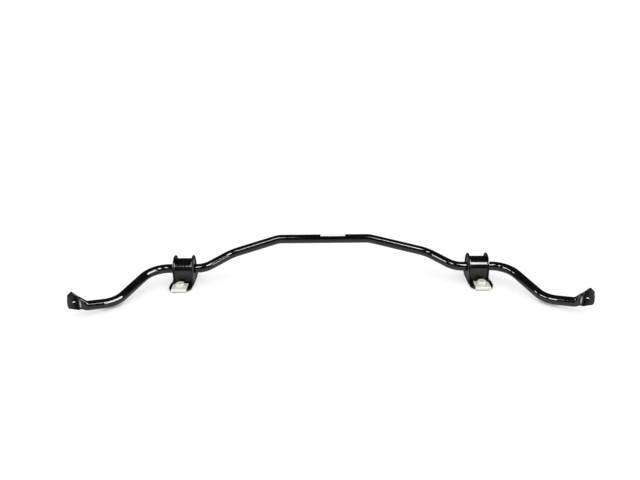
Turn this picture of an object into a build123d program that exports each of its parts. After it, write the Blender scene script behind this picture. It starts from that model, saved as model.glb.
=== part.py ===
from build123d import *
import math
import os

os.makedirs("parts", exist_ok=True)

# Sway bar with two bracketed rubber bushings, lying as it would on a flat floor.
# Millimetres. +X runs along the bar to its right end, +Y to the rear, +Z up.
# The origin is on the plane under the bracket feet, at the middle of the bar's plan.

# Bar: one round steel forging
BAR_R = 11.0
AXIS_Y = 50.6  # bushing axis, in front-to-rear position
AXIS_Z = 34.0  # bushing axis above the mounting plane
CENTRE_LEFT_X = -125.5  # corners at the ends of the raised centre run
CENTRE_RIGHT_X = 99.8
CENTRE_BACK = 63.1
CENTRE_Z = 82.8
MID_X = 241.0  # corner between the two short slopes on each side
MID_BACK = 41.3
MID_Z = 54.2
INNER_X = 303.0  # corners at the two ends of the run through a bushing
OUTER_X = 430.0
ELBOW_X = 485.0  # corner between arm and outward end
ELBOW_FORWARD = 130.0
ELBOW_Z = 12.2
CENTRE_BEND_R = 57.0
MID_BEND_R = 82.0
INNER_BEND_R = 57.0
OUTER_BEND_R = 60.0
ELBOW_BEND_R = 67.0

# Paddle: flattened eye at each end of the bar
EYE_X = 566.0
EYE_FORWARD = 164.4
EYE_Z = 32.0
EYE_HOLE_R = 4.2
EYE_T = 12.0
EYE_TURN = 25.5  # how far the paddle's length is turned towards the front
NECK_START = 31.0  # round section ends this far inboard of the hole
NECK_SHOULDER = 27.5  # and is still round here, where the forging starts to flatten it
NECK_DROP = 13.8  # round section's centre is this far under the hole
NECK_FRONT = 4.3  # and this far in front of the plate's middle
NECK_BOTTOM = -20.3  # underside of the flattened neck, from the hole
NECK_CORNER_R = 3.6
NECK_FLATS = [  # distance inboard of the hole, top from the hole, thickness; the last is buried
    (14.5, 7.6, 14.4),
    (9.5, 11.4, 10.6),
]
EYE_CORNER_R = 3.0
EYE_RIM_R = 1.6
EYE_PLAIN_X = -11.5  # corners inboard of this stay sharp, inside the neck
EYE_OUTLINE = [  # outward and up from the hole, clockwise from the buried inner end
    (-14.0, 6.0),
    (-12.0, 9.5),
    (1.8, 25.0),
    (11.9, 16.2),
    (14.2, 5.0),
    (14.6, -6.0),
    (12.4, -12.2),
    (3.0, -15.6),
    (-6.0, -19.6),
    (-11.0, -20.1),
    (-14.0, -15.0),
]

# Bushing and bracket
LEFT_X = -352.0
RIGHT_X = 357.3
BORE_R = 11.05
BUSH_R = 22.4
BUSH_W = 44.4
BUSH_RIM_R = 1.0
SLIT = 0.8
STRAP_IN_R = 22.5
STRAP_T = 3.0
STRAP_W = 46.0
FLANGE_R = 33.0
FLANGE_T = 2.4
BASE_T = 3.0
FOOT_REACH = 60.0
FOOT_HALF_W = 26.6
FOOT_CORNER_R = 16.0
FOOT_SHIFT = 5.0  # both feet sit this far outboard of the strap's middle
BASE_REACH = 53.0
BASE_CORNER_R = 11.0
BOLT_REACH = 42.0
BOLT_HOLE_R = 5.5
FLANGE_ROOT_R = 1.6
FLANGE_RIM_R = 0.8
GUSSET_REACH = 31.0
GUSSET_W = 7.5
GUSSET_H = 10.0
OVERLAP = 0.5  # how far added shapes run into the body they join
SAME = 0.1  # two radii closer than this are the same one

# Nylon retainer and captive M10 nut on each foot
CLIP_HALF_W = 17.8
CLIP_NARROW = 14.2  # outboard half-width where the clip passes the flange
CLIP_START = 30.0
NOTCH_END = 34.0  # clip passes the flange here, and is full width again at NOTCH_FULL
NOTCH_FULL = 37.0
CLIP_T = 3.0
SKIRT_GAP = 0.2
SKIRT_T = 3.2
SKIRT_R = 2.0
LIP_START = 53.6
LIP_Z = 1.8
LIP_T = 1.0
DOME_R = 10.0
DOME_H = 7.0
DOME_EDGE_R = 2.0
NUT_FLANGE = 18.0
NUT_FLANGE_T = 2.0
NUT_R = 7.5
NUT_H = 8.0
NUT_CHAMFER = 0.6
NUT_BORE_R = 4.25
NUT_GAP = 0.15

# Blank label on the centre run
LABEL_X = 9.6
LABEL_L = 61.0
LABEL_T = 0.22
LABEL_FRONT = 32.0  # degrees forward of the bar's top line
LABEL_REAR = 108.0  # degrees behind it

STRAP_OUT_R = STRAP_IN_R + STRAP_T
FOOT_TOP = BASE_T + STRAP_T
SKIRT_OUT = FOOT_REACH + SKIRT_GAP + SKIRT_T
BUSHINGS = (("left", -1, LEFT_X), ("right", 1, RIGHT_X))
FEET = (("front", -1), ("rear", 1))


def bar_point(x, back, z):
    """Point on the bar's centreline, measured back from the bushing axis."""
    return Vector(x, AXIS_Y + back, z)


def bend(before, corner, after, radius):
    """Start, middle and end of the arc that rounds one corner of the centreline."""
    to_before = (before - corner).normalized()
    to_after = (after - corner).normalized()
    half = math.radians(to_before.get_angle(to_after)) / 2
    inward = (to_before + to_after).normalized()
    start = corner + to_before * (radius / math.tan(half))
    end = corner + to_after * (radius / math.tan(half))
    middle = corner + inward * (radius / math.sin(half) - radius)
    return start, middle, end


def neck_point(side):
    """Centre of the bar's last round section, where the paddle's neck begins."""
    turn = math.radians(EYE_TURN)
    x = EYE_X - NECK_START * math.cos(turn) - NECK_FRONT * math.sin(turn)
    back = -EYE_FORWARD + NECK_START * math.sin(turn) - NECK_FRONT * math.cos(turn)
    return bar_point(side * x, back, EYE_Z - NECK_DROP)


def eye_plane(side):
    """Mid-plane of a paddle: x outward along it, y up, origin at the hole."""
    turn = math.radians(EYE_TURN)
    outward = Vector(side * math.cos(turn), -math.sin(turn), 0)
    origin = bar_point(side * EYE_X, -EYE_FORWARD, EYE_Z)
    return Plane(origin, x_dir=outward, z_dir=outward.cross(Vector(0, 0, 1)))


def arm_corners(side):
    """Corners of the centreline from the short slope out to the neck."""
    return [
        bar_point(side * MID_X, MID_BACK, MID_Z),
        bar_point(side * INNER_X, 0, AXIS_Z),
        bar_point(side * OUTER_X, 0, AXIS_Z),
        bar_point(side * ELBOW_X, -ELBOW_FORWARD, ELBOW_Z),
        neck_point(side),
    ]


# Centreline corners from the left end to the right end, with the bend radius at each.
corners = list(reversed(arm_corners(-1)))
corners.append(bar_point(CENTRE_LEFT_X, CENTRE_BACK, CENTRE_Z))
corners.append(bar_point(CENTRE_RIGHT_X, CENTRE_BACK, CENTRE_Z))
corners.extend(arm_corners(1))
arm_radii = [ELBOW_BEND_R, OUTER_BEND_R, INNER_BEND_R, MID_BEND_R]
radii = arm_radii + [CENTRE_BEND_R, CENTRE_BEND_R] + list(reversed(arm_radii))

# The bar, its two paddles and their link holes.
with BuildPart() as sway_bar:
    for side in (-1, 1):
        eye = eye_plane(side)
        # Eye: flat plate with an angular forged outline, its rim rounded by the forging die.
        with BuildSketch(eye):
            with BuildLine():
                Polyline(*EYE_OUTLINE, close=True)
            make_face()
            fillet(vertices().filter_by(lambda corner: corner.X > EYE_PLAIN_X), radius=EYE_CORNER_R)
        extrude(amount=EYE_T / 2, both=True)
        fillet(faces().filter_by(eye).edges(), radius=EYE_RIM_R)
    with BuildLine() as centreline:
        last = corners[0]
        for index, radius in enumerate(radii, start=1):
            start, middle, end = bend(*corners[index - 1 : index + 2], radius)
            Line(last, start)
            ThreePointArc(start, middle, end)
            last = end
        Line(last, corners[-1])
    for side, position in ((-1, 0), (1, 1)):
        # Neck: the bar stays round up to a shoulder, then is drawn out to the flat section.
        eye = eye_plane(side)
        outward = (centreline.line % position) * side
        upward = (eye.y_dir - outward * eye.y_dir.dot(outward)).normalized()
        for distance in (0, NECK_START - NECK_SHOULDER):
            centre = neck_point(side) + outward * distance
            with BuildSketch(Plane(centre, x_dir=upward, z_dir=outward)):
                Circle(BAR_R)
        for inboard, top, thickness in NECK_FLATS:
            centre = eye.from_local_coords(Vector(-inboard, (top + NECK_BOTTOM) / 2, 0))
            with BuildSketch(Plane(centre, x_dir=eye.y_dir, z_dir=eye.x_dir)):
                RectangleRounded(top - NECK_BOTTOM, thickness, NECK_CORNER_R)
        loft()
    with BuildSketch(Plane(corners[0], z_dir=centreline.line % 0)):
        Circle(BAR_R)
    sweep(path=centreline.line)
    for side in (-1, 1):
        with BuildSketch(eye_plane(side)):
            Circle(EYE_HOLE_R)
        extrude(amount=EYE_T, both=True, mode=Mode.SUBTRACT)
sway_bar.part.label = "sway_bar"
export_step(sway_bar.part, "parts/sway_bar.step")

# Blank label wrapped over the top of the centre run.
with BuildPart() as identification_label:
    with BuildSketch(Plane.YZ.offset(LABEL_X)):
        with BuildLine():
            centre = (AXIS_Y + CENTRE_BACK, CENTRE_Z)
            outside = CenterArc(centre, BAR_R + LABEL_T, 90 - LABEL_REAR, LABEL_FRONT + LABEL_REAR)
            inside = CenterArc(centre, BAR_R, 90 - LABEL_REAR, LABEL_FRONT + LABEL_REAR)
            Line(outside @ 0, inside @ 0)
            Line(outside @ 1, inside @ 1)
        make_face()
    extrude(amount=LABEL_L / 2, both=True)
identification_label.part.label = "identification_label"
export_step(identification_label.part, "parts/identification_label.step")

for hand, side, centre_x in BUSHINGS:
    across = Plane.YZ.offset(centre_x)
    foot_x = centre_x + side * FOOT_SHIFT

    # Rubber bushing: D-shaped block, slit at the rear so it can be put on over the bar.
    with BuildPart() as bushing:
        with BuildSketch(across):
            with Locations((AXIS_Y, AXIS_Z)):
                Circle(BUSH_R)
                Rectangle(2 * BUSH_R, AXIS_Z - BASE_T, align=(Align.CENTER, Align.MAX))
                Circle(BORE_R, mode=Mode.SUBTRACT)
                Rectangle(2 * BUSH_R, SLIT, align=(Align.MIN, Align.CENTER), mode=Mode.SUBTRACT)
        extrude(amount=BUSH_W / 2, both=True)
        end_faces = faces().sort_by(Axis.X)
        rims = (end_faces[0].edges() + end_faces[-1].edges()).filter_by(GeomType.CIRCLE)
        fillet(rims.filter_by(lambda edge: edge.radius > BUSH_R - SAME), radius=BUSH_RIM_R)
    bushing.part.label = f"bushing_{hand}"
    export_step(bushing.part, f"parts/bushing_{hand}.step")

    # Upper bracket half: a pressed strap over the bushing, with stiffening flanges and two feet.
    with BuildPart() as strap:
        with BuildSketch(across):
            with Locations((AXIS_Y, AXIS_Z)):
                Circle(STRAP_OUT_R)
                Rectangle(2 * STRAP_OUT_R, AXIS_Z - BASE_T, align=(Align.CENTER, Align.MAX))
        extrude(amount=STRAP_W / 2, both=True)
        for end in (-1, 1):
            with BuildSketch(across.offset(end * STRAP_W / 2)):
                with Locations((AXIS_Y, AXIS_Z)):
                    Circle(FLANGE_R)
                    Rectangle(2 * FLANGE_R, AXIS_Z - BASE_T, align=(Align.CENTER, Align.MAX))
                with Locations((AXIS_Y, BASE_T)):
                    Rectangle(2 * FLANGE_R, BASE_T, align=(Align.CENTER, Align.MAX), mode=Mode.SUBTRACT)
            extrude(amount=-end * FLANGE_T)
        rims = edges().filter_by(GeomType.CIRCLE)
        fillet(rims.filter_by(lambda edge: abs(edge.radius - STRAP_OUT_R) < SAME), radius=FLANGE_ROOT_R)
        rims = edges().filter_by(GeomType.CIRCLE)
        fillet(rims.filter_by(lambda edge: abs(edge.radius - FLANGE_R) < SAME), radius=FLANGE_RIM_R)
        with BuildSketch(Plane.XY.offset(BASE_T)):
            with Locations((foot_x, AXIS_Y)):
                RectangleRounded(2 * FOOT_HALF_W, 2 * FOOT_REACH, FOOT_CORNER_R)
        extrude(amount=STRAP_T)
        # Gussets: the flanges flare out on to the wider outboard side of each foot.
        for row, toward in FEET:
            with BuildSketch(Plane.XZ.offset(-AXIS_Y - toward * GUSSET_REACH)):
                with BuildLine():
                    Polyline(
                        (centre_x + side * (STRAP_W / 2 - OVERLAP), FOOT_TOP - OVERLAP),
                        (centre_x + side * (STRAP_W / 2 + GUSSET_W), FOOT_TOP - OVERLAP),
                        (centre_x + side * (STRAP_W / 2 - OVERLAP), FOOT_TOP + GUSSET_H),
                        close=True,
                    )
                make_face()
            extrude(amount=FLANGE_T / 2, both=True)
        with BuildSketch(across):
            with Locations((AXIS_Y, AXIS_Z)):
                Circle(STRAP_IN_R)
                Rectangle(2 * STRAP_IN_R, AXIS_Z - BASE_T, align=(Align.CENTER, Align.MAX))
        extrude(amount=STRAP_W, both=True, mode=Mode.SUBTRACT)
        with BuildSketch(Plane.XY):
            with Locations((foot_x, AXIS_Y)):
                with GridLocations(0, 2 * BOLT_REACH, 1, 2):
                    Circle(BOLT_HOLE_R)
        extrude(amount=FOOT_TOP, mode=Mode.SUBTRACT)
    strap.part.label = f"strap_{hand}"
    export_step(strap.part, f"parts/strap_{hand}.step")

    # Lower bracket half: a flat plate that closes the bushing in.
    with BuildPart() as base_plate:
        with BuildSketch(Plane.XY):
            with Locations((foot_x, AXIS_Y)):
                RectangleRounded(2 * FOOT_HALF_W, 2 * BASE_REACH, BASE_CORNER_R)
                with GridLocations(0, 2 * BOLT_REACH, 1, 2):
                    Circle(BOLT_HOLE_R, mode=Mode.SUBTRACT)
            with Locations((centre_x, AXIS_Y)):
                Rectangle(STRAP_W, 2 * STRAP_OUT_R)
        extrude(amount=BASE_T)
    base_plate.part.label = f"base_plate_{hand}"
    export_step(base_plate.part, f"parts/base_plate_{hand}.step")

    for row, toward in FEET:
        # Nylon retainer: top plate and hooked skirt clipped over the foot, closed dome over the nut.
        with BuildPart() as clip:
            with BuildSketch(Plane.XY.offset(FOOT_TOP)):
                with BuildLine():
                    Polyline(
                        (foot_x - side * CLIP_HALF_W, AXIS_Y + toward * CLIP_START),
                        (foot_x + side * CLIP_NARROW, AXIS_Y + toward * CLIP_START),
                        (foot_x + side * CLIP_NARROW, AXIS_Y + toward * NOTCH_END),
                        (foot_x + side * CLIP_HALF_W, AXIS_Y + toward * NOTCH_FULL),
                        (foot_x + side * CLIP_HALF_W, AXIS_Y + toward * SKIRT_OUT),
                        (foot_x - side * CLIP_HALF_W, AXIS_Y + toward * SKIRT_OUT),
                        close=True,
                    )
                make_face()
            extrude(amount=CLIP_T)
            with BuildSketch(Plane.YZ.offset(foot_x)):
                with BuildLine():
                    Polyline(
                        (AXIS_Y + toward * SKIRT_OUT, FOOT_TOP + OVERLAP),
                        (AXIS_Y + toward * SKIRT_OUT, LIP_Z),
                        (AXIS_Y + toward * LIP_START, LIP_Z),
                        (AXIS_Y + toward * LIP_START, LIP_Z + LIP_T),
                        (AXIS_Y + toward * (FOOT_REACH + SKIRT_GAP), LIP_Z + LIP_T),
                        (AXIS_Y + toward * (FOOT_REACH + SKIRT_GAP), FOOT_TOP + OVERLAP),
                        close=True,
                    )
                make_face()
            extrude(amount=CLIP_HALF_W, both=True)
            across_front = edges().filter_by(Axis.X).sort_by(lambda edge: toward * edge.center().Y)[-2:]
            fillet(across_front.sort_by(Axis.Z)[-1], radius=SKIRT_R)
            upright = edges().filter_by(Axis.Z).sort_by(lambda edge: toward * edge.center().Y)[-2:]
            fillet(upright, radius=SKIRT_R)
            with BuildSketch(Plane.XY.offset(FOOT_TOP + CLIP_T)):
                with Locations((foot_x, AXIS_Y + toward * BOLT_REACH)):
                    Circle(DOME_R)
            extrude(amount=DOME_H)
            fillet(faces().sort_by(Axis.Z)[-1].edges(), radius=DOME_EDGE_R)
            with BuildSketch(Plane.XY.offset(FOOT_TOP)):
                with Locations((foot_x, AXIS_Y + toward * BOLT_REACH)):
                    Rectangle(NUT_FLANGE + 2 * NUT_GAP, NUT_FLANGE + 2 * NUT_GAP)
            extrude(amount=NUT_FLANGE_T + NUT_GAP, mode=Mode.SUBTRACT)
            with BuildSketch(Plane.XY.offset(FOOT_TOP)):
                with Locations((foot_x, AXIS_Y + toward * BOLT_REACH)):
                    Circle(NUT_R + NUT_GAP)
            extrude(amount=NUT_H + NUT_GAP, mode=Mode.SUBTRACT)
        clip.part.label = f"{row}_clip_{hand}"
        export_step(clip.part, f"parts/{row}_clip_{hand}.step")

        # Captive nut: square flange and round threaded barrel, bored to the thread's inner radius.
        with BuildPart() as nut:
            with BuildSketch(Plane.XY.offset(FOOT_TOP)):
                with Locations((foot_x, AXIS_Y + toward * BOLT_REACH)):
                    Rectangle(NUT_FLANGE, NUT_FLANGE)
            extrude(amount=NUT_FLANGE_T)
            with BuildSketch(Plane.XY.offset(FOOT_TOP)):
                with Locations((foot_x, AXIS_Y + toward * BOLT_REACH)):
                    Circle(NUT_R)
            extrude(amount=NUT_H)
            chamfer(faces().sort_by(Axis.Z)[-1].edges(), length=NUT_CHAMFER)
            with BuildSketch(Plane.XY.offset(FOOT_TOP)):
                with Locations((foot_x, AXIS_Y + toward * BOLT_REACH)):
                    Circle(NUT_BORE_R)
            extrude(amount=NUT_H, mode=Mode.SUBTRACT)
        nut.part.label = f"{row}_nut_{hand}"
        export_step(nut.part, f"parts/{row}_nut_{hand}.step")
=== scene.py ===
import math

import bmesh
import bpy
from mathutils import Matrix, Vector


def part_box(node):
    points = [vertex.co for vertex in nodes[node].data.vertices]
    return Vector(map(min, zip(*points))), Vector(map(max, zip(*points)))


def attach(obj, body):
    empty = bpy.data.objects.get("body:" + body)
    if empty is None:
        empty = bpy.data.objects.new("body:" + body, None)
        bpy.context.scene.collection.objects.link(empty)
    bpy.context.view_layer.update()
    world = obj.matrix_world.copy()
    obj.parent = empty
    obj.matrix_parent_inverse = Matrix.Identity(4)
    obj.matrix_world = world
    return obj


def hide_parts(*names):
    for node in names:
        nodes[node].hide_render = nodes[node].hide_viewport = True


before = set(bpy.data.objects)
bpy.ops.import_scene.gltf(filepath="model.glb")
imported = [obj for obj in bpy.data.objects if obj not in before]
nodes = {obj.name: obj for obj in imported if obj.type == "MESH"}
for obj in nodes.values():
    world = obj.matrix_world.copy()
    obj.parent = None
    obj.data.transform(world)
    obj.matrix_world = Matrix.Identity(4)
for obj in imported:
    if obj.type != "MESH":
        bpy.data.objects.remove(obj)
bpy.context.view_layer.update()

MM = 0.001
SIDES = {"left": -1, "right": 1}
ROWS = {"front": -1, "rear": 1}
SQUARE = [(-1, -1), (1, -1), (1, 1), (-1, 1)]  # the corners of a square, as signs


# ---------------------------------------------------------------- material helpers

def start_material(name):
    """A new node material: the material, its node tree, its shader, and the object coordinates."""
    mat = bpy.data.materials.new(name)
    mat.use_nodes = True
    tree = mat.node_tree
    shader = tree.nodes["Principled BSDF"]
    coords = tree.nodes.new("ShaderNodeTexCoord").outputs["Object"]
    return mat, tree, shader, coords


def noise(tree, coords, scale, detail, stretch=(1, 1, 1)):
    """Noise with features about 1/scale metres across, longer along an axis whose stretch is below 1."""
    mapping = tree.nodes.new("ShaderNodeMapping")
    mapping.inputs["Scale"].default_value = stretch
    tree.links.new(coords, mapping.inputs["Vector"])
    tex = tree.nodes.new("ShaderNodeTexNoise")
    tex.inputs["Scale"].default_value = scale
    tex.inputs["Detail"].default_value = detail
    tree.links.new(mapping.outputs["Vector"], tex.inputs["Vector"])
    return tex.outputs["Fac"]


def spread(tree, value, low, high, start=0.3, end=0.7):
    """Remaps a value from start..end to low..high, held at the ends."""
    node = tree.nodes.new("ShaderNodeMapRange")
    node.inputs["From Min"].default_value = start
    node.inputs["From Max"].default_value = end
    node.inputs["To Min"].default_value = low
    node.inputs["To Max"].default_value = high
    tree.links.new(value, node.inputs["Value"])
    return node.outputs["Result"]


def blend_colours(tree, factor, first, second):
    """Mixes two colours, each a tuple or a socket, by a factor socket."""
    node = tree.nodes.new("ShaderNodeMix")
    node.data_type = "RGBA"
    tree.links.new(factor, node.inputs["Factor"])
    for key, colour in (("A", first), ("B", second)):
        socket = [s for s in node.inputs if s.name == key and s.type == "RGBA"][0]
        if isinstance(colour, tuple):
            socket.default_value = (*colour, 1)
        else:
            tree.links.new(colour, socket)
    return [s for s in node.outputs if s.type == "RGBA"][0]


def bump(tree, height, depth, below=None):
    """A bump of the given depth in metres, laid over another one if given."""
    node = tree.nodes.new("ShaderNodeBump")
    node.inputs["Strength"].default_value = 1.0
    node.inputs["Distance"].default_value = depth
    tree.links.new(height, node.inputs["Height"])
    if below is not None:
        tree.links.new(below, node.inputs["Normal"])
    return node.outputs["Normal"]


def combine(tree, operation, first, second):
    """One value from two sockets."""
    node = tree.nodes.new("ShaderNodeMath")
    node.operation = operation
    tree.links.new(first, node.inputs[0])
    tree.links.new(second, node.inputs[1])
    return node.outputs["Value"]


def facing(tree, axis):
    """The surface normal's part along an axis, before any bump."""
    split = tree.nodes.new("ShaderNodeSeparateXYZ")
    tree.links.new(tree.nodes.new("ShaderNodeTexCoord").outputs["Normal"], split.inputs["Vector"])
    return split.outputs[axis]


def along(tree, coords):
    """Distance out from the middle of the bar, and height."""
    split = tree.nodes.new("ShaderNodeSeparateXYZ")
    tree.links.new(coords, split.inputs["Vector"])
    out = tree.nodes.new("ShaderNodeMath")
    out.operation = "ABSOLUTE"
    tree.links.new(split.outputs["X"], out.inputs[0])
    return out.outputs["Value"], split.outputs["Z"]


def band(tree, value, edges):
    """1 between the middle two edges, fading to 0 at the outer two."""
    rise = spread(tree, value, 0, 1, edges[0], edges[1])
    fall = spread(tree, value, 1, 0, edges[2], edges[3])
    return combine(tree, "MULTIPLY", rise, fall)


# ---------------------------------------------------------------- the bar's forged ends

# Metres out from the middle of the bar, and metres over the floor.
FORGED_FROM = 0.546
FORGED_FULL = 0.554
# Where the painted highlight at the neck's shoulder lies, out from the middle and over the floor.
PAINTED_HIGHLIGHT_X = (0.5508, 0.5518, 0.5532, 0.5542)
PAINTED_HIGHLIGHT_Z = (0.0170, 0.0215, 0.0300, 0.0380)
HOLLOW_X = (0.5530, 0.5580, 0.5590, 0.5720)
# Colour of the painted highlight, laid into the bar's base colour at the neck's shoulder.
PAINTED_HIGHLIGHT_COLOUR = (0.42, 0.42, 0.43)
HAMMERED_DEPTH = 2.8 * MM
FULL_SPECULAR = 0.5  # the shader's own default
LEAST_SPECULAR = 0.02


def forged_end(tree, coords, base, coarse):
    """The base colour, bump and specular level of the bar, changed on its flattened ends: a hammered
    bump, upward faces that reflect little, and at the neck's shoulder a painted highlight, a pale upright
    line in the base colour, with a dull band outboard of it. The painted highlight and the band stand in
    for the highlight and shade of a sharper neck."""
    out, height = along(tree, coords)
    ends = spread(tree, out, 0, 1, FORGED_FROM, FORGED_FULL)
    hammered = combine(tree, "MULTIPLY", ends, noise(tree, coords, scale=95, detail=2))
    upward = spread(tree, facing(tree, "Z"), 0, 1, 0.3, 0.6)
    dull = combine(tree, "MAXIMUM", upward, band(tree, out, HOLLOW_X))
    dull = combine(tree, "MULTIPLY", ends, dull)
    # Painted highlight: a pale upright line at the neck's shoulder, mixed into the base colour.
    painted_highlight = combine(tree, "MULTIPLY", band(tree, out, PAINTED_HIGHLIGHT_X), band(tree, height, PAINTED_HIGHLIGHT_Z))
    frontward = spread(tree, facing(tree, "Y"), 1, 0, -0.6, -0.3)
    painted_highlight = combine(tree, "MULTIPLY", painted_highlight, frontward)
    broken = spread(tree, noise(tree, coords, scale=420, detail=3), 0.6, 1)
    painted_highlight = combine(tree, "MULTIPLY", painted_highlight, broken)
    base = blend_colours(tree, painted_highlight, base, PAINTED_HIGHLIGHT_COLOUR)
    specular = spread(tree, dull, FULL_SPECULAR, LEAST_SPECULAR, 0, 1)
    return base, bump(tree, hammered, HAMMERED_DEPTH, below=coarse), specular


# ---------------------------------------------------------------- materials

PAINT_IOR = 1.46
DUST = (0.09, 0.09, 0.085)
SIDE_SPECULAR = 0.03
SIDE_ROUGHNESS = 0.6


def paint(name, dark, light, rough, peel, peel_depth, matt_sides=False, forged=False):
    """Black paint on steel: slight colour drift, orange peel, and fine dust nibs.
    With matt_sides the faces square to X reflect little, as those of the stamped brackets do.
    With forged the bar's flattened ends get the finish of forged_end."""
    mat, tree, shader, coords = start_material(name)
    drift = spread(tree, noise(tree, coords, scale=38, detail=4), 0, 1)
    dust = spread(tree, noise(tree, coords, scale=2600, detail=2), 0, 0.35, 0.68, 0.78)
    base = blend_colours(tree, drift, dark, light)
    base = blend_colours(tree, dust, base, DUST)
    coarse = bump(tree, noise(tree, coords, scale=peel, detail=2), peel_depth)
    if forged:
        base, coarse, specular = forged_end(tree, coords, base, coarse)
        tree.links.new(specular, shader.inputs["Specular IOR Level"])
    tree.links.new(base, shader.inputs["Base Color"])
    smoothest, roughest = rough
    roughness = spread(tree, noise(tree, coords, scale=55, detail=5), smoothest, roughest)
    if matt_sides:
        side = combine(tree, "MULTIPLY", facing(tree, "X"), facing(tree, "X"))
        rougher = spread(tree, side, 0, SIDE_ROUGHNESS, 0.6, 0.9)
        roughness = combine(tree, "MAXIMUM", roughness, rougher)
        specular = spread(tree, side, FULL_SPECULAR, SIDE_SPECULAR, 0.6, 0.9)
        tree.links.new(specular, shader.inputs["Specular IOR Level"])
    tree.links.new(roughness, shader.inputs["Roughness"])
    fine = bump(tree, noise(tree, coords, scale=peel * 4, detail=2), peel_depth * 0.12, below=coarse)
    tree.links.new(fine, shader.inputs["Normal"])
    shader.inputs["IOR"].default_value = PAINT_IOR
    return mat


def rubber(name):
    """Moulded black rubber: dull, mottled with pale bloom, with a fine pebbled skin."""
    mat, tree, shader, coords = start_material(name)
    bloom = spread(tree, noise(tree, coords, scale=120, detail=6), 0, 1, 0.42, 0.72)
    base = blend_colours(tree, bloom, (0.012, 0.012, 0.012), (0.034, 0.033, 0.031))
    tree.links.new(base, shader.inputs["Base Color"])
    roughness = spread(tree, noise(tree, coords, scale=300, detail=4), 0.55, 0.8)
    tree.links.new(roughness, shader.inputs["Roughness"])
    pebbles = bump(tree, noise(tree, coords, scale=1400, detail=3), 0.12 * MM)
    flow = noise(tree, coords, scale=220, detail=3, stretch=(0.25, 1, 1))
    tree.links.new(bump(tree, flow, 0.1 * MM, below=pebbles), shader.inputs["Normal"])
    return mat


def nylon(name):
    """Natural ivory nylon: slightly translucent, uneven colour, small specks and faint flow lines."""
    mat, tree, shader, coords = start_material(name)
    cloud = spread(tree, noise(tree, coords, scale=140, detail=4), 0, 1)
    base = blend_colours(tree, cloud, (0.6, 0.615, 0.55), (0.69, 0.7, 0.64))
    specks = spread(tree, noise(tree, coords, scale=1700, detail=2), 0, 0.6, 0.7, 0.8)
    base = blend_colours(tree, specks, base, (0.42, 0.41, 0.33))
    tree.links.new(base, shader.inputs["Base Color"])
    roughness = spread(tree, noise(tree, coords, scale=260, detail=4), 0.36, 0.5)
    tree.links.new(roughness, shader.inputs["Roughness"])
    flow = bump(tree, noise(tree, coords, scale=190, detail=3, stretch=(1, 0.2, 1)), 0.12 * MM)
    skin = bump(tree, noise(tree, coords, scale=1500, detail=2), 0.04 * MM, below=flow)
    tree.links.new(skin, shader.inputs["Normal"])
    shader.inputs["Subsurface Weight"].default_value = 0.15
    shader.inputs["Subsurface Radius"].default_value = (4.0 * MM, 3.6 * MM, 2.6 * MM)
    shader.inputs["Subsurface Scale"].default_value = 1.0
    return mat


def plated(name):
    """Zinc-plated steel: pale yellow-grey metal with turned rings and dull patches."""
    mat, tree, shader, coords = start_material(name)
    patches = spread(tree, noise(tree, coords, scale=210, detail=4), 0, 1)
    base = blend_colours(tree, patches, (0.46, 0.44, 0.36), (0.62, 0.6, 0.52))
    tree.links.new(base, shader.inputs["Base Color"])
    roughness = spread(tree, noise(tree, coords, scale=480, detail=4), 0.24, 0.46)
    tree.links.new(roughness, shader.inputs["Roughness"])
    rings = noise(tree, coords, scale=900, detail=2, stretch=(0.1, 0.1, 1))
    tree.links.new(bump(tree, rings, 0.06 * MM), shader.inputs["Normal"])
    shader.inputs["Metallic"].default_value = 1.0
    return mat


def paper(name):
    """Blank white paper label: fibrous, faintly uneven, with a satin finish."""
    mat, tree, shader, coords = start_material(name)
    fibres = spread(tree, noise(tree, coords, scale=900, detail=5, stretch=(0.3, 1, 1)), 0, 1)
    base = blend_colours(tree, fibres, (0.8, 0.8, 0.78), (0.9, 0.9, 0.89))
    tree.links.new(base, shader.inputs["Base Color"])
    roughness = spread(tree, noise(tree, coords, scale=300, detail=3), 0.38, 0.55)
    tree.links.new(roughness, shader.inputs["Roughness"])
    grain = bump(tree, noise(tree, coords, scale=1200, detail=4), 0.03 * MM)
    tree.links.new(grain, shader.inputs["Normal"])
    return mat


MATERIALS = {
    "gloss_black_paint": paint(
        "gloss_black",
        dark=(0.0015, 0.0015, 0.0018),
        light=(0.004, 0.004, 0.0045),
        rough=(0.03, 0.07),
        peel=150,
        peel_depth=0.11 * MM,
        forged=True,
    ),
    "bracket_paint": paint(
        "bracket_black",
        dark=(0.0012, 0.0012, 0.0014),
        light=(0.004, 0.004, 0.004),
        rough=(0.08, 0.14),
        peel=220,
        peel_depth=0.07 * MM,
        matt_sides=True,
    ),
    "rubber": rubber("moulded_rubber"),
    "ivory_nylon": nylon("ivory_nylon"),
    "plated_steel": plated("zinc_plate"),
    "white_label": paper("blank_label"),
}


# ---------------------------------------------------------------- mesh helpers

SMOOTH_UNDER = 35  # degrees: edges that turn more than this stay crisp


def new_object(name, data):
    """An object linked into the scene."""
    obj = bpy.data.objects.new(name, data)
    bpy.context.scene.collection.objects.link(obj)
    return obj


def solid_from(name, bm):
    """An object from a closed bmesh, its faces turned outward."""
    bmesh.ops.recalc_face_normals(bm, faces=bm.faces)
    mesh = bpy.data.meshes.new(name)
    bm.to_mesh(mesh)
    bm.free()
    return new_object(name, mesh)


def prism(outline, direction):
    """A closed solid: a flat outline of points pushed along a direction, its faces turned outward."""
    bm = bmesh.new()
    base = bm.faces.new([bm.verts.new(p) for p in outline])
    top = bmesh.ops.extrude_face_region(bm, geom=[base])["geom"]
    moved = [v for v in top if isinstance(v, bmesh.types.BMVert)]
    bmesh.ops.translate(bm, verts=moved, vec=direction)
    bmesh.ops.recalc_face_normals(bm, faces=bm.faces)
    return bm


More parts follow.
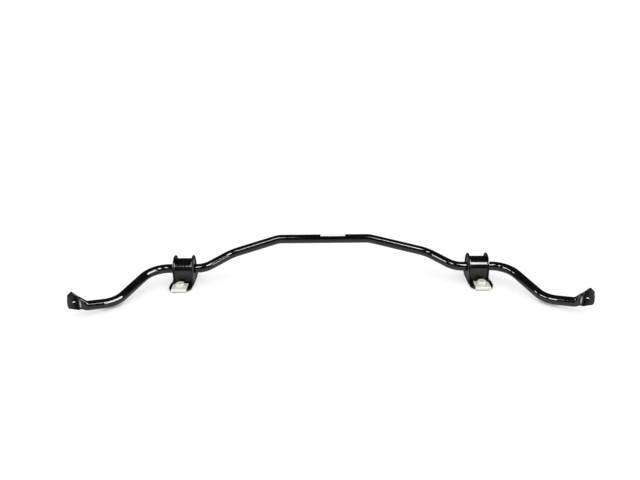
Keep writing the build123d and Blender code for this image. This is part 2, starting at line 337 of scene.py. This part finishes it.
def turned(centre, profile, segments):
    """A solid of revolution about the vertical through centre, from (radius, height) pairs."""
    bm = bmesh.new()
    rings = []
    for radius, height in profile:
        if radius == 0:
            rings.append([bm.verts.new(centre + Vector((0, 0, height)))])
            continue
        ring = []
        for step in range(segments):
            a = 2 * math.pi * step / segments
            ring.append(bm.verts.new(centre + Vector((radius * math.cos(a), radius * math.sin(a), height))))
        rings.append(ring)
    for lower, upper in zip(rings, rings[1:]):
        for step in range(segments):
            following = (step + 1) % segments
            if len(lower) == 1:
                bm.faces.new((lower[0], upper[step], upper[following]))
            elif len(upper) == 1:
                bm.faces.new((lower[step], lower[following], upper[0]))
            else:
                bm.faces.new((lower[step], lower[following], upper[following], upper[step]))
    return bm


def round_edges(bm, edges, radius, segments):
    """Rounds a bmesh's edges."""
    bmesh.ops.bevel(bm, geom=edges, offset=radius, segments=segments, profile=0.5, affect="EDGES")


def arc(centre, radius, start, end, steps):
    """Points (a, b) along an arc, angles in degrees."""
    points = []
    for index in range(steps + 1):
        angle = math.radians(start + (end - start) * index / steps)
        points.append((centre[0] + radius * math.cos(angle), centre[1] + radius * math.sin(angle)))
    return points


def boolean(target, tool, operation):
    """Joins or cuts target with tool, and removes the tool."""
    modifier = target.modifiers.new(operation.lower(), "BOOLEAN")
    modifier.operation = operation
    modifier.solver = "EXACT"
    modifier.object = tool
    bpy.context.view_layer.update()
    made = bpy.data.meshes.new_from_object(target.evaluated_get(bpy.context.evaluated_depsgraph_get()))
    target.modifiers.clear()
    target.data = made
    bpy.data.objects.remove(tool)


def smooth(obj):
    """Smooth shading, with the sharper edges kept crisp."""
    obj.data.shade_smooth()
    bm = bmesh.new()
    bm.from_mesh(obj.data)
    limit = math.radians(SMOOTH_UNDER)
    for edge in bm.edges:
        edge.smooth = len(edge.link_faces) == 2 and edge.calc_face_angle(0) < limit
    bm.to_mesh(obj.data)
    bm.free()


def dress(obj, body, slot, *stands_for):
    """Gives a made piece its finish, its body and the CAD nodes it stands for."""
    obj.data.materials.clear()
    obj.data.materials.append(MATERIALS[slot])
    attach(obj, body)
    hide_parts(*stands_for)


# ---------------------------------------------------------------- nylon retainers

PLATE_T = 3.0 * MM
WALL_T = 3.2 * MM
ROLL_R = 3.6 * MM
TOE_R = 0.8 * MM
LIP_T = 1.0 * MM
LIP_NOSE = 0.4 * MM  # height of the lip's blunt nose
LIP_REACH = 9.8 * MM  # how far the hook's top and its underside come in from the outer face
LIP_UNDER_REACH = 10.8 * MM
RIM_R = 0.45 * MM
RIM_FROM = 50  # degrees: edges that turn more than this are rounded
NOTCH_IN = 3.6 * MM
NOTCH_FROM = 4.0 * MM
NOTCH_TO = 7.0 * MM
NOTCH_SLANT = 1.2 * MM
NUT_OUT = 12.0 * MM  # the nut's centre from the retainer's inner end
DOME_R = 10.0 * MM
DOME_ROOT = 1.2 * MM  # the dome's solid starts this far up inside the plate
DOME_FOOT = [(1.6, 0.02), (0.7, 0.25), (0.15, 1.0)]  # mm out from the dome's wall, and up from the plate
DOME_SHOULDER_R = 2.4 * MM
DISH = [(3.4, 0), (2.9, 0.25), (1.2, 0.35), (0.9, 0.1), (0, 0.1)]  # mm from the dome's axis, and down
RIB_NEAR = 6.2 * MM
RIB_FAR = 7.4 * MM
RIB_START = 5.0 * MM  # out from the nut's centre
RIB_STOP = 5.2 * MM  # in from the outer face
RIB_SUNK = 0.5 * MM
RIB_H = 1.1 * MM
RIB_R = 0.3 * MM
POCKET_HALF = 9.15 * MM
POCKET_H = 2.15 * MM
BARREL_R = 7.65 * MM
BARREL_H = 8.15 * MM
POCKET_BELOW = 0.5 * MM  # the pocket's cutters start this far below the plate
PAST = 1.0 * MM  # the notch's cutter starts this far past the plate's inner end
CUTTER_H = 30.0 * MM  # taller than a retainer
HAIR = 0.01 * MM  # keeps a corner of the notch's cutter just off the plate's side


def retainer(hand, row):
    """Moulded clip over one bracket foot: plate, rolled outer wall with a hook under it, and a nut dome."""
    side, toward = SIDES[hand], ROWS[row]
    low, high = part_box(f"{row}_clip_{hand}")
    plate_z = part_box(f"{row}_nut_{hand}")[0].z  # the plate lies on the foot, where the nut does
    inner_y = high.y if toward < 0 else low.y
    outer = abs(high.y - low.y)
    mid_x = (low.x + high.x) / 2
    half = (high.x - low.x) / 2

    def at(across, out, up):
        return Vector((mid_x + side * across, inner_y + toward * out, up))

    # Section through the clip, from its inner end over the roll to the hook's tip.
    roll = arc((outer - ROLL_R, plate_z + PLATE_T - ROLL_R), ROLL_R, 90, 0, 10)
    toe = arc((outer - TOE_R, low.z + TOE_R), TOE_R, 0, -90, 4)
    section = [(0, plate_z), (0, plate_z + PLATE_T)] + roll + toe
    section += [(outer - LIP_UNDER_REACH, low.z), (outer - LIP_REACH, low.z + LIP_NOSE)]
    section += [(outer - LIP_REACH, low.z + LIP_T), (outer - WALL_T, low.z + LIP_T)]
    section += [(outer - WALL_T, plate_z)]
    body = prism([at(-half, out, up) for out, up in section], Vector((side * 2 * half, 0, 0)))
    limit = math.radians(RIM_FROM)
    rims = [e for e in body.edges if len(e.link_faces) == 2 and e.calc_face_angle(0) > limit]
    round_edges(body, rims, RIM_R, segments=3)
    clip = solid_from(f"retainer_{row}_{hand}", body)

    # A corner is notched out of the plate's inner end.
    notch = [at(half - NOTCH_IN, -PAST, 0), at(half + 2 * PAST, -PAST, 0)]
    notch += [at(half + 2 * PAST, NOTCH_TO + NOTCH_SLANT, 0), at(half - HAIR, NOTCH_TO, 0)]
    notch += [at(half - NOTCH_IN, NOTCH_FROM, 0)]
    boolean(clip, solid_from("cut", prism(notch, Vector((0, 0, CUTTER_H)))), "DIFFERENCE")

    # Dome with a foot fillet, a rounded shoulder and a shallow dish in its top.
    top = high.z - plate_z
    foot = [(DOME_R + out * MM, PLATE_T + up * MM) for out, up in DOME_FOOT]
    root = [(0, DOME_ROOT), (foot[0][0], DOME_ROOT)]
    shoulder_centre = (DOME_R - DOME_SHOULDER_R, top - DOME_SHOULDER_R)
    shoulder = arc(shoulder_centre, DOME_SHOULDER_R, 8, 90, 8)
    dish = [(radius * MM, top - down * MM) for radius, down in DISH]
    centre = at(0, NUT_OUT, plate_z)
    boolean(clip, solid_from("dome", turned(centre, root + foot + shoulder + dish, 64)), "UNION")

    # Two low ribs run from the dome to the outer roll.
    rib_z = plate_z + PLATE_T - RIB_SUNK
    for rib_side in (-1, 1):
        near, far = rib_side * RIB_NEAR, rib_side * RIB_FAR
        start, stop = NUT_OUT + RIB_START, outer - RIB_STOP
        plan = [at(near, start, rib_z), at(far, start, rib_z), at(far, stop, rib_z), at(near, stop, rib_z)]
        rib = prism(plan, Vector((0, 0, RIB_H)))
        round_edges(rib, list(rib.edges), RIB_R, segments=2)
        boolean(clip, solid_from("rib", rib), "UNION")

    # Pocket for the captive nut: square flange below, round barrel above.
    square = [at(a * POCKET_HALF, NUT_OUT + b * POCKET_HALF, plate_z - POCKET_BELOW) for a, b in SQUARE]
    flange = prism(square, Vector((0, 0, POCKET_H + POCKET_BELOW)))
    boolean(clip, solid_from("cut", flange), "DIFFERENCE")
    barrel = [(0, -POCKET_BELOW), (BARREL_R, -POCKET_BELOW), (BARREL_R, BARREL_H), (0, BARREL_H)]
    boolean(clip, solid_from("cut", turned(centre, barrel, 48)), "DIFFERENCE")
    smooth(clip)
    dress(clip, f"{hand}_mount", "ivory_nylon", f"{row}_clip_{hand}")


# ---------------------------------------------------------------- rubber bushings

BORE_R = 11.05 * MM
BUSHING_R = 22.4 * MM
FOOT_R = 1.4 * MM
END_R = 0.55 * MM
SLIT_HALF = 0.4 * MM
COLLAR_R = 15.0 * MM
COLLAR_H = 0.7 * MM
COLLAR_ROOT = 1.0 * MM  # how far the collar's solid starts inside the block
COLLAR_GAP = 0.02 * MM  # between the block's bore and the collar's
COLLAR_SHORT = 2  # degrees: the collar stops this far either side of the slit
COLLAR_EDGE_R = 0.3 * MM


def bushing(hand):
    """Moulded D-shaped rubber block round the bar, slit at the rear, with a collar at each end."""
    low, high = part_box(f"bushing_{hand}")
    axis_y = (low.y + high.y) / 2
    axis_z = high.z - BUSHING_R
    opening = math.degrees(math.asin(SLIT_HALF / BORE_R))
    outer_opening = math.degrees(math.asin(SLIT_HALF / BUSHING_R))

    def place(points, x):
        return [Vector((x, axis_y + across, axis_z + up)) for across, up in points]

    # One outline: in at the slit, round the bore, out again, and round the D.
    floor_z = low.z - axis_z
    bore = arc((0, 0), BORE_R, 360 - opening, opening, 96)
    crown = arc((0, 0), BUSHING_R, outer_opening, 180, 60)
    front_foot = arc((-BUSHING_R + FOOT_R, floor_z + FOOT_R), FOOT_R, 180, 270, 6)
    rear_foot = arc((BUSHING_R - FOOT_R, floor_z + FOOT_R), FOOT_R, 270, 360, 6)
    outline = bore + crown + front_foot + rear_foot + [(BUSHING_R, -SLIT_HALF)]
    block = prism(place(outline, low.x), Vector((high.x - low.x, 0, 0)))
    rims = [e for e in block.edges if any(abs(f.normal.x) > 0.9 for f in e.link_faces)]
    round_edges(block, rims, END_R, segments=3)
    piece = solid_from(f"rubber_bushing_{hand}", block)
    back = opening + COLLAR_SHORT
    for end, x in ((-1, low.x), (1, high.x)):
        ring = arc((0, 0), BORE_R + COLLAR_GAP, 360 - back, back, 72)
        ring += arc((0, 0), COLLAR_R, back, 360 - back, 72)
        collar = prism(place(ring, x - end * COLLAR_ROOT), Vector((end * (COLLAR_H + COLLAR_ROOT), 0, 0)))
        tips = [e for e in collar.edges if any(f.normal.x * end > 0.9 for f in e.link_faces)]
        round_edges(collar, tips, COLLAR_EDGE_R, segments=3)
        boolean(piece, solid_from("collar", collar), "UNION")
    smooth(piece)
    dress(piece, f"{hand}_mount", "rubber", f"bushing_{hand}")


# ---------------------------------------------------------------- finishes on the carried-over parts

def finish_part(obj, slot):
    """Gives every material slot of an object the finish of a record slot."""
    if not obj.data.materials:
        obj.data.materials.append(None)
    for index in range(len(obj.material_slots)):
        obj.material_slots[index].material = MATERIALS[slot]


finish_part(nodes["sway_bar"], "gloss_black_paint")
finish_part(nodes["identification_label"], "white_label")
for hand in SIDES:
    finish_part(nodes[f"strap_{hand}"], "bracket_paint")
    finish_part(nodes[f"base_plate_{hand}"], "bracket_paint")
    bushing(hand)
    for row in ROWS:
        finish_part(nodes[f"{row}_nut_{hand}"], "plated_steel")
        retainer(hand, row)


# ---------------------------------------------------------------- floor

FLOOR_HALF = 30.0
FLOOR_DROP = 0.3 * MM  # the floor stays just under the feet, so that the two don't share a plane
PAINTED_SHADOW_REACH = 7.0 * MM  # how near the object the floor's glow fades: the reach of a painted contact shadow
FLOOR_GLOW = 0.53

floor_mesh = bpy.data.meshes.new("floor")
floor_plan = [(x * FLOOR_HALF, y * FLOOR_HALF, -FLOOR_DROP) for x, y in SQUARE]
floor_mesh.from_pydata(floor_plan, [], [(0, 1, 2, 3)])
floor = new_object("floor", floor_mesh)
floor_mat, floor_tree, floor_shader, floor_coords = start_material("floor_white")
tone = spread(floor_tree, noise(floor_tree, floor_coords, scale=3, detail=2), 0, 1)
white = blend_colours(floor_tree, tone, (0.52, 0.52, 0.52), (0.55, 0.55, 0.55))
floor_tree.links.new(white, floor_shader.inputs["Base Color"])
floor_shader.inputs["Roughness"].default_value = 0.9
floor_shader.inputs["Specular IOR Level"].default_value = 0.0
floor_shader.inputs["Emission Color"].default_value = (1, 1, 1, 1)
# Painted shadow: the floor's glow is dimmed where ambient occlusion finds the object close by.
painted_shadow = floor_tree.nodes.new("ShaderNodeAmbientOcclusion")
painted_shadow.inputs["Distance"].default_value = PAINTED_SHADOW_REACH
glow = spread(floor_tree, painted_shadow.outputs["AO"], 0, FLOOR_GLOW, 0.15, 0.75)
floor_tree.links.new(glow, floor_shader.inputs["Emission Strength"])
floor_mesh.materials.append(floor_mat)


# ---------------------------------------------------------------- world and lights

SURROUND_STRENGTH = 1.0
STUDIO_STRENGTH = 0.05
LIGHT_DISTANCE = 9.0

# Matt surfaces are lit by a white surround, and glossy ones reflect a dark studio.
world = bpy.data.worlds.new("studio")
bpy.context.scene.world = world
world.use_nodes = True
tree = world.node_tree
surround = tree.nodes["Background"]
surround.inputs["Color"].default_value = (1, 1, 1, 1)
surround.inputs["Strength"].default_value = SURROUND_STRENGTH
studio = tree.nodes.new("ShaderNodeBackground")
studio.inputs["Color"].default_value = (0.95, 0.97, 1, 1)
studio.inputs["Strength"].default_value = STUDIO_STRENGTH
path = tree.nodes.new("ShaderNodeLightPath")
mix = tree.nodes.new("ShaderNodeMixShader")
tree.links.new(path.outputs["Is Glossy Ray"], mix.inputs["Fac"])
tree.links.new(surround.outputs["Background"], mix.inputs[1])
tree.links.new(studio.outputs["Background"], mix.inputs[2])
tree.links.new(mix.outputs["Shader"], tree.nodes["World Output"].inputs["Surface"])


def softbox(name, azimuth, elevation, wide, tall, radiance, seen_by):
    """A rectangular light aimed at the object, its place and size in degrees.
    Azimuth 0 is in front and 90 to the right. It either lights matt surfaces or shows in glossy ones."""
    width = 2 * LIGHT_DISTANCE * math.tan(math.radians(wide / 2))
    height = 2 * LIGHT_DISTANCE * math.tan(math.radians(tall / 2))
    data = bpy.data.lights.new(name, "AREA")
    data.shape = "RECTANGLE"
    data.size = width
    data.size_y = height
    data.energy = radiance * math.pi * width * height
    obj = new_object(name, data)
    a = math.radians(azimuth)
    e = math.radians(elevation)
    out = Vector((math.sin(a) * math.cos(e), -math.cos(a) * math.cos(e), math.sin(e)))
    aim = out.to_track_quat("Z", "Y").to_matrix().to_4x4()
    obj.matrix_world = Matrix.Translation(out * LIGHT_DISTANCE) @ aim
    obj.visible_camera = False
    obj.visible_diffuse = seen_by == "matt"
    obj.visible_glossy = seen_by == "gloss"


softbox("front_fill", 4, 12, 60, 22, 2.6, "matt")
softbox("right_box", 68, 39, 40, 36, 24, "gloss")
softbox("right_low_box", 40, 18, 8, 10, 22, "gloss")
softbox("left_far_box", -97, 27, 8, 10, 20, "gloss")
softbox("left_box", -73, 29, 20, 13, 20, "gloss")
softbox("left_near_box", -48, 35, 17, 22, 20, "gloss")
softbox("front_right_box", 22, 54, 10, 22, 28, "gloss")
softbox("front_left_box", -15, 54, 6, 22, 22, "gloss")


# ---------------------------------------------------------------- camera

CAMERA_AT = Vector((-0.0034, -1.4009, 0.7210))
FOCAL = 37.125  # on the default 36 mm sensor width
LOOK = Vector((-0.01155, 0.92069, -0.38999))
RIGHT = Vector((0.9999, 0.0065, -0.0122))
camera_data = bpy.data.cameras.new("camera")
camera_data.lens = FOCAL
camera = new_object("camera", camera_data)
look = LOOK.normalized()
up = RIGHT.cross(look).normalized()
turn = Matrix((look.cross(up), up, -look)).transposed().to_4x4()
camera.matrix_world = Matrix.Translation(CAMERA_AT) @ turn
bpy.context.scene.camera = camera
bpy.context.scene.view_settings.view_transform = "Standard"
